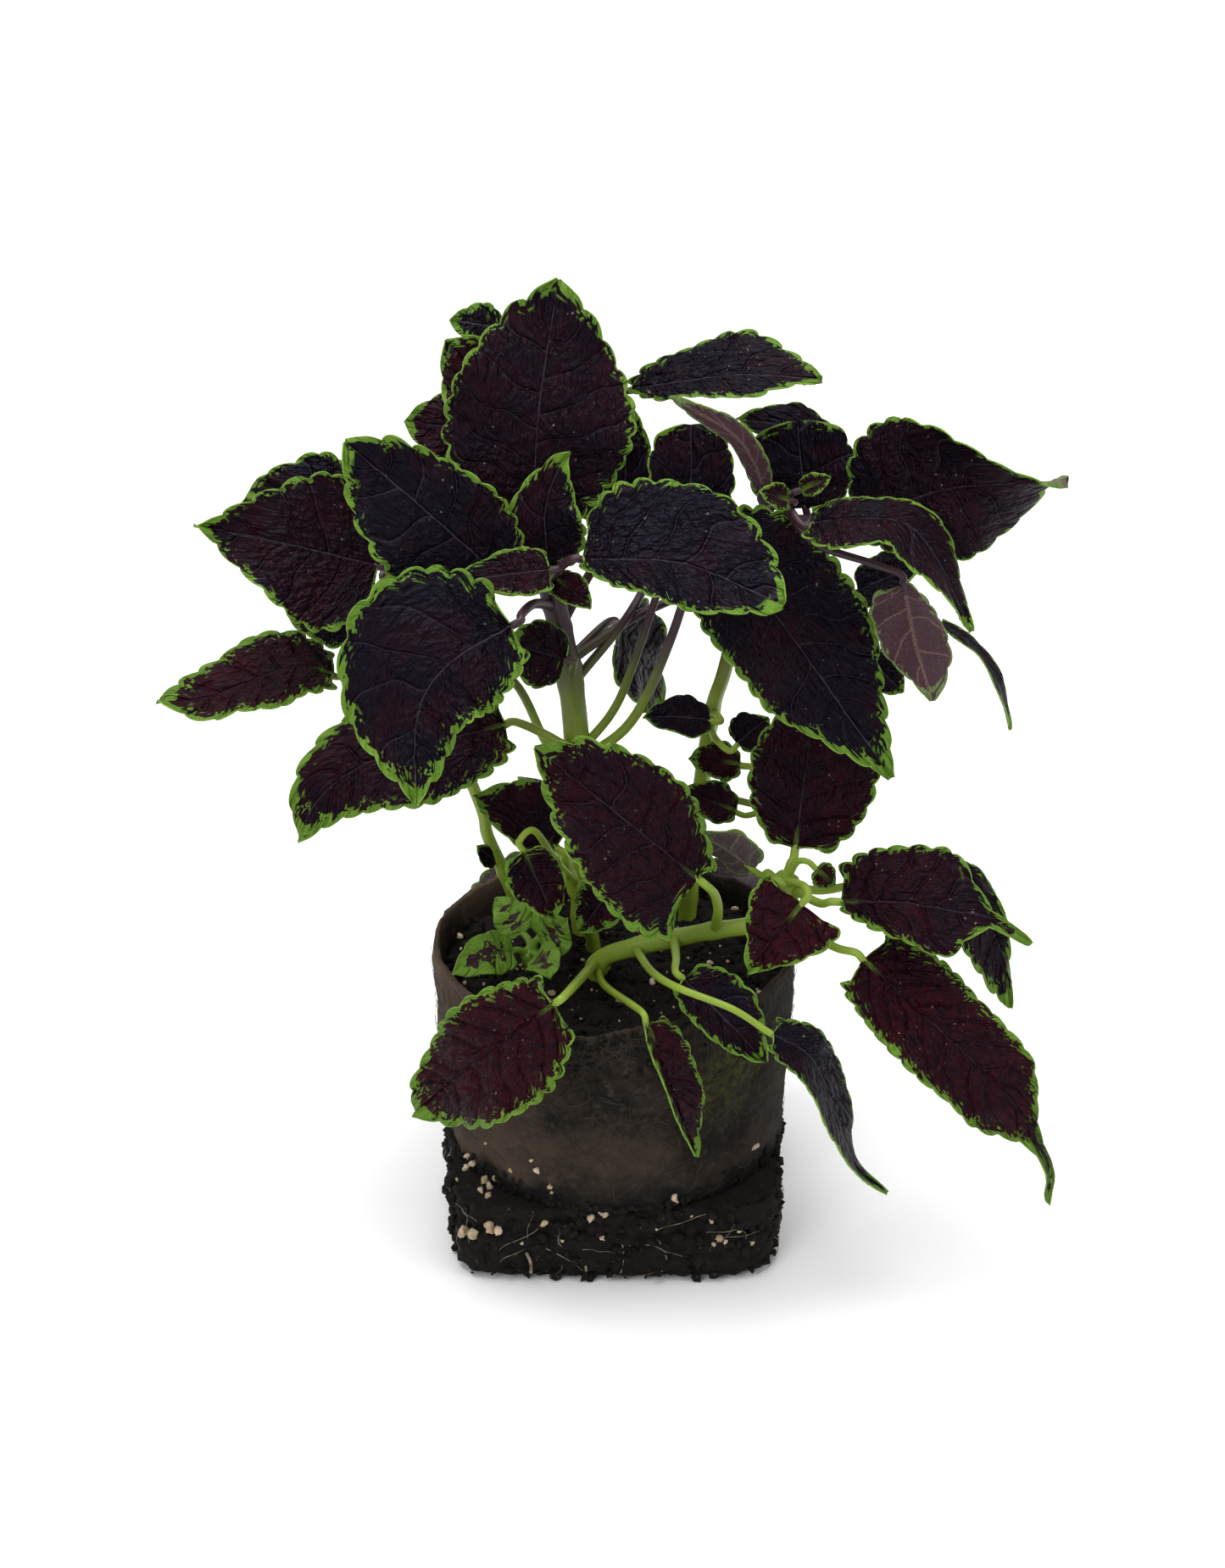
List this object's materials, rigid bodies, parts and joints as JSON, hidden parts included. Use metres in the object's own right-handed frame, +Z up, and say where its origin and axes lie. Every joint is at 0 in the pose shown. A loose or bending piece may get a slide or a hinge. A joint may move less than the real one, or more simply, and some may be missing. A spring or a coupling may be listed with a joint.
{
  "type": "coleus plant",
  "caption": "Young coleus with dark, green-edged scalloped leaves on square stems, growing in a soil root ball wrapped in a pressed fibre sleeve.",
  "frame": {"origin": "middle of the flat underside of the root ball", "axes": "+Z up along the plant, -Y towards the front, +X to the right seen from the front"},
  "size_m": [0.2106, 0.1295, 0.2308],
  "materials": {
    "leaf": "soft matte leaf, very dark purple with a green margin",
    "stem": "smooth yellow-green plant stem",
    "shoot": "soft matte green young shoot",
    "fibre": "rough damp pressed fibre",
    "soil": "dark crumbly potting soil with pale grains"
  },
  "bodies": {
    "root": {"root_ball_soil": "soil", "fibre_sleeve": "fibre", "main_stem": "stem", "right_stem": "stem", "left_stem": "stem", "middle_stem": "stem", "side_branch": "stem", "basal_shoots": "shoot", "crown_back_leaf": "leaf", "crown_upright_leaf": "leaf", "crown_left_leaf": "leaf", "crown_front_leaf": "leaf", "crown_right_leaf": "leaf", "crown_side_leaf": "leaf", "crown_curled_leaf": "leaf", "rear_right_leaf": "leaf", "rear_left_leaf": "leaf", "rear_low_leaf": "leaf", "long_stalk_leaf": "leaf", "dark_inner_leaf": "leaf", "big_right_leaf": "leaf", "lower_left_leaf": "leaf", "far_left_leaf": "leaf", "left_leaf": "leaf", "left_rear_leaf": "leaf", "left_small_leaf": "leaf", "right_round_leaf": "leaf", "right_narrow_leaf": "leaf", "right_rear_leaf": "leaf", "far_right_leaf": "leaf", "right_drooping_leaf": "leaf", "right_dark_leaf": "leaf", "right_hanging_leaf": "leaf", "right_strap_leaf": "leaf", "right_hidden_leaf": "leaf", "inner_left_leaf": "leaf", "inner_right_leaf": "leaf", "inner_striped_leaf": "leaf", "inner_red_leaf": "leaf", "rim_back_right_leaf": "leaf", "low_left_leaf": "leaf", "low_left_small_leaf": "leaf", "low_middle_leaf": "leaf", "front_middle_leaf": "leaf", "branch_upright_leaf": "leaf", "branch_red_leaf": "leaf", "branch_small_leaf": "leaf", "branch_right_leaf": "leaf", "branch_rear_leaf": "leaf", "branch_long_leaf": "leaf", "branch_grey_leaf": "leaf", "over_rim_left_leaf": "leaf", "over_rim_narrow_leaf": "leaf", "over_rim_middle_leaf": "leaf", "over_rim_right_leaf": "leaf", "back_left_leaf": "leaf", "back_right_leaf": "leaf", "back_middle_leaf": "leaf", "back_low_leaf": "leaf", "rim_back_left_leaf": "leaf"}
  },
  "joints": []
}
